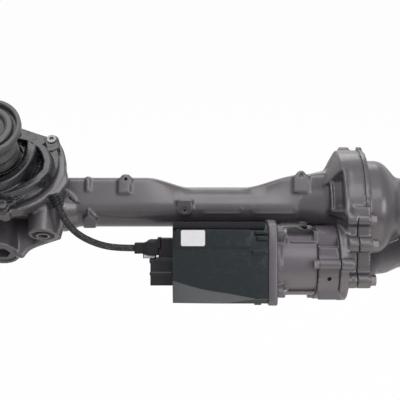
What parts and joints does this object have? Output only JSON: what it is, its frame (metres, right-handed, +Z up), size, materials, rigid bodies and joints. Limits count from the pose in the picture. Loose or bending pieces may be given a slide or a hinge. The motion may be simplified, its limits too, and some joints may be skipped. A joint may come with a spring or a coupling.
{
  "type": "electric power steering rack",
  "caption": "Steering rack with tilted pinion input, axis-parallel motor, toothed belt and ball nut, cast housing, control unit and plug-in sensor lead.",
  "frame": {"origin": "the middle of the left mounting bore, on its axis", "axes": "+X along the rack towards the ball nut's end, +Z up as pictured, -Y towards the motor's side"},
  "size_m": [0.655, 0.1612, 0.222],
  "materials": {
    "cast_housing": "satin",
    "machined_steel": "satin",
    "bearing_steel": "polished",
    "plated_screws": "satin",
    "motor_can": "satin",
    "unit_paint": "gloss",
    "black_plastic": "satin",
    "cover_plastic": "satin",
    "soft_rubber": "satin",
    "belt_rubber": "matt",
    "cable_sleeve": "matt",
    "copper": "satin",
    "lamination": "satin",
    "board": "satin",
    "bush_bronze": "satin",
    "contact_pins": "satin"
  },
  "bodies": {
    "housing": {"rack_housing": "cast_housing", "belt_cover": "cast_housing", "cover_bolts": "plated_screws", "dowels": "machined_steel", "rack_bush": "bush_bronze", "sensor_stator": "black_plastic", "input_seal": "soft_rubber", "pinion_bearing_outer": "bearing_steel", "pinion_bearing_balls": "bearing_steel", "pinion_lower_bearing": "bearing_steel", "pinion_cap": "machined_steel", "yoke_spring": "machined_steel", "yoke_adjuster": "machined_steel", "nut_bearing_outer": "bearing_steel", "nut_bearing_balls": "bearing_steel", "bearing_lock_ring": "machined_steel", "drive_belt": "belt_rubber", "motor_housing": "motor_can", "motor_end_shield": "motor_can", "motor_bolts": "plated_screws", "stator_core": "lamination", "stator_coils": "copper", "motor_bearing_outers": "bearing_steel", "motor_bearing_balls": "bearing_steel", "control_unit_flange": "motor_can", "control_unit_cover": "unit_paint", "control_unit_screws": "plated_screws", "circuit_board": "board", "board_posts": "machined_steel", "capacitors": "motor_can", "power_header": "black_plastic", "header_pins": "contact_pins", "sensor_plug": "black_plastic", "sensor_cable": "cable_sleeve", "strain_relief": "soft_rubber", "sensor_cover": "cover_plastic", "sensor_cover_screws": "plated_screws", "sealing_collar": "soft_rubber", "mount_sleeves": "machined_steel", "mount_rubbers": "soft_rubber"},
    "rack_bar": {"rack_bar": "machined_steel"},
    "pinion": {"pinion": "machined_steel", "torsion_bar": "machined_steel", "pinion_bearing_inner": "bearing_steel"},
    "input_shaft": {"input_shaft": "machined_steel", "sensor_magnet": "lamination"},
    "ball_nut": {"ball_nut": "machined_steel", "nut_balls": "bearing_steel", "nut_pulley": "machined_steel", "nut_bearing_inner": "bearing_steel"},
    "rotor": {"motor_shaft": "machined_steel", "rotor_core": "lamination", "rotor_magnets": "lamination", "motor_pulley": "machined_steel", "motor_bearing_inners": "bearing_steel"},
    "yoke": {"yoke": "cast_housing", "yoke_liner": "bush_bronze", "yoke_o_ring": "soft_rubber"}
  },
  "joints": [
    {"name": "nut_spin", "type": "hinge", "parent": "housing", "child": "ball_nut", "pos_m": [0.3405, 0.03635, -0.0123], "axis": [1, 0, 0], "range_deg": [-3754, 3754]},
    {"name": "rack_slide", "type": "slide", "parent": "housing", "child": "rack_bar", "axis": [1, 0, 0], "range_m": [-0.073, 0.073]},
    {"name": "pinion_spin", "type": "hinge", "parent": "housing", "child": "pinion", "pos_m": [-0.048, 0.04888, -0.00353], "axis": [0, -0.5736, 0.8192], "range_deg": [-523, 523]},
    {"name": "input_twist", "type": "hinge", "parent": "pinion", "child": "input_shaft", "pos_m": [-0.048, 0.04888, -0.00353], "axis": [0, -0.5736, 0.8192], "range_deg": [-4, 4], "stiffness_Nm_per_rad": 120},
    {"name": "rotor_spin", "type": "hinge", "parent": "housing", "child": "rotor", "pos_m": [0.264, -0.0169, -0.0533], "axis": [1, 0, 0], "range_deg": [-10880, 10880]},
    {"name": "yoke_float", "type": "slide", "parent": "housing", "child": "yoke", "axis": [0, -0.8192, -0.5736], "range_m": [0, 0.0001], "stiffness_N_per_m": 50000}
  ],
  "couplings": [
    {"joint": "rack_slide", "follows": "nut_spin", "m_per_rad": -0.0011141},
    {"joint": "pinion_spin", "follows": "nut_spin", "ratio": -0.13926},
    {"joint": "rotor_spin", "follows": "nut_spin", "ratio": 2.8966}
  ]
}
